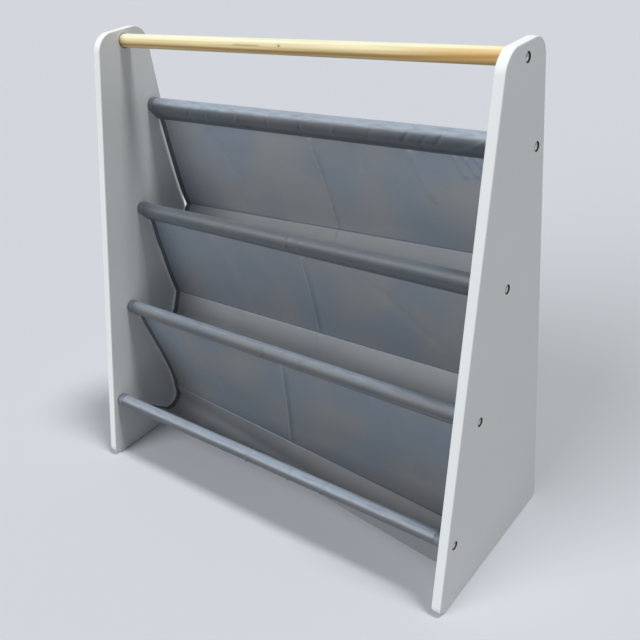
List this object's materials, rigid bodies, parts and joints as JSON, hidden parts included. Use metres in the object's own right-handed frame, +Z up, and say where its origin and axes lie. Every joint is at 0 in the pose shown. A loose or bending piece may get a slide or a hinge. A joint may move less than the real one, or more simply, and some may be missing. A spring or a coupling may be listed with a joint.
{
  "type": "sling bookshelf",
  "caption": "Child's sling bookshelf with tapered white side panels, a bare pine top rail and a grey cloth sling of three open pockets",
  "frame": {"origin": "centre of the bounding box's base, on the floor that the side panels stand on", "axes": "+X to the right along the rail, +Y to the rear, +Z up"},
  "size_m": [0.61, 0.2462, 0.601],
  "materials": {
    "painted_panels": "white satin paint on board",
    "pine_dowels": "bare sanded pine",
    "screws": "zinc plated steel",
    "sling_cloth": "plain woven polyester with a slight sheen"
  },
  "bodies": {
    "root": {"side_panel_left": "painted_panels", "side_panel_right": "painted_panels", "top_rail": "pine_dowels", "sling_rod_bottom": "pine_dowels", "sling_rod_lower": "pine_dowels", "sling_rod_upper": "pine_dowels", "sling_rod_top": "pine_dowels", "screw_left_top_rail": "screws", "screw_left_sling_rod_bottom": "screws", "screw_left_sling_rod_lower": "screws", "screw_left_sling_rod_upper": "screws", "screw_left_sling_rod_top": "screws", "screw_right_top_rail": "screws", "screw_right_sling_rod_bottom": "screws", "screw_right_sling_rod_lower": "screws", "screw_right_sling_rod_upper": "screws", "screw_right_sling_rod_top": "screws", "sleeve_bottom": "sling_cloth", "sleeve_lower": "sling_cloth", "sleeve_upper": "sling_cloth", "sleeve_top": "sling_cloth", "upper_pocket_back": "sling_cloth", "upper_pocket_front": "sling_cloth", "middle_pocket_back": "sling_cloth", "middle_pocket_front": "sling_cloth", "lower_pocket_back": "sling_cloth", "lower_pocket_front": "sling_cloth"}
  },
  "joints": []
}
